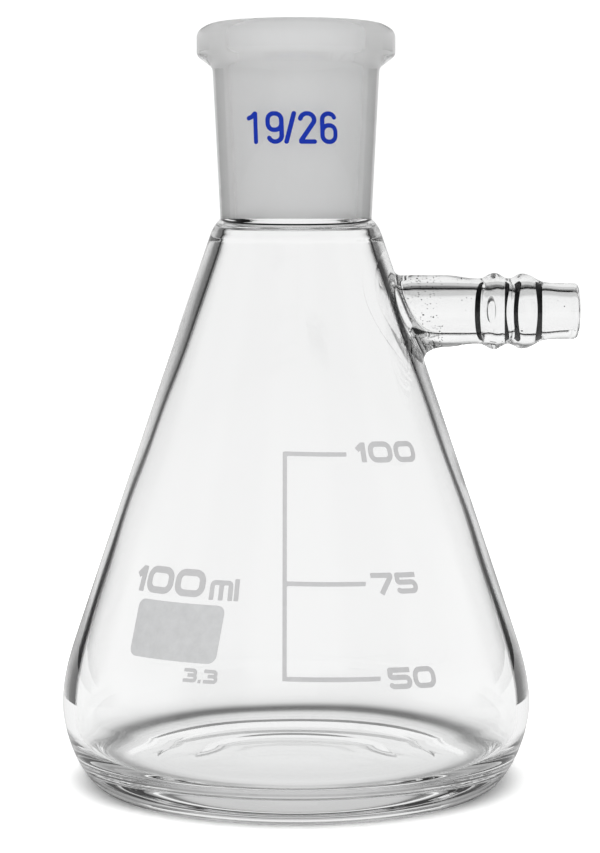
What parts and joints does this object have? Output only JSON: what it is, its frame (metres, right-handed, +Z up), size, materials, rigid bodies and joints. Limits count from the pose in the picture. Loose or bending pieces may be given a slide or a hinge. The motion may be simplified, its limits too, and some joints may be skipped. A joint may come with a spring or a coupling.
{
  "type": "filter flask",
  "caption": "Small conical filter flask in clear glass with a ground socket neck, a barbed hose side arm and a printed volume scale.",
  "frame": {"origin": "on the flask's vertical axis at the surface it stands on; the underside's shallow punt rises 0.6 mm above it there", "axes": "+Z up the axis towards the socket's mouth, +X along the side arm, -Y out through the printed scale"},
  "size_m": [0.0703, 0.064, 0.1034],
  "materials": {
    "clear_glass": "clear, fire polished",
    "ground_glass": "ground bore under a clear outer skin",
    "arm_glass": "clear, fire polished",
    "scale_enamel": "fired grey-white enamel",
    "spot_enamel": "fired grey-white enamel, matt"
  },
  "bodies": {
    "root": {"flask_body": "clear_glass", "ground_socket": "ground_glass", "side_arm": "arm_glass", "graduation_scale": "scale_enamel", "marking_spot": "spot_enamel"}
  },
  "joints": []
}
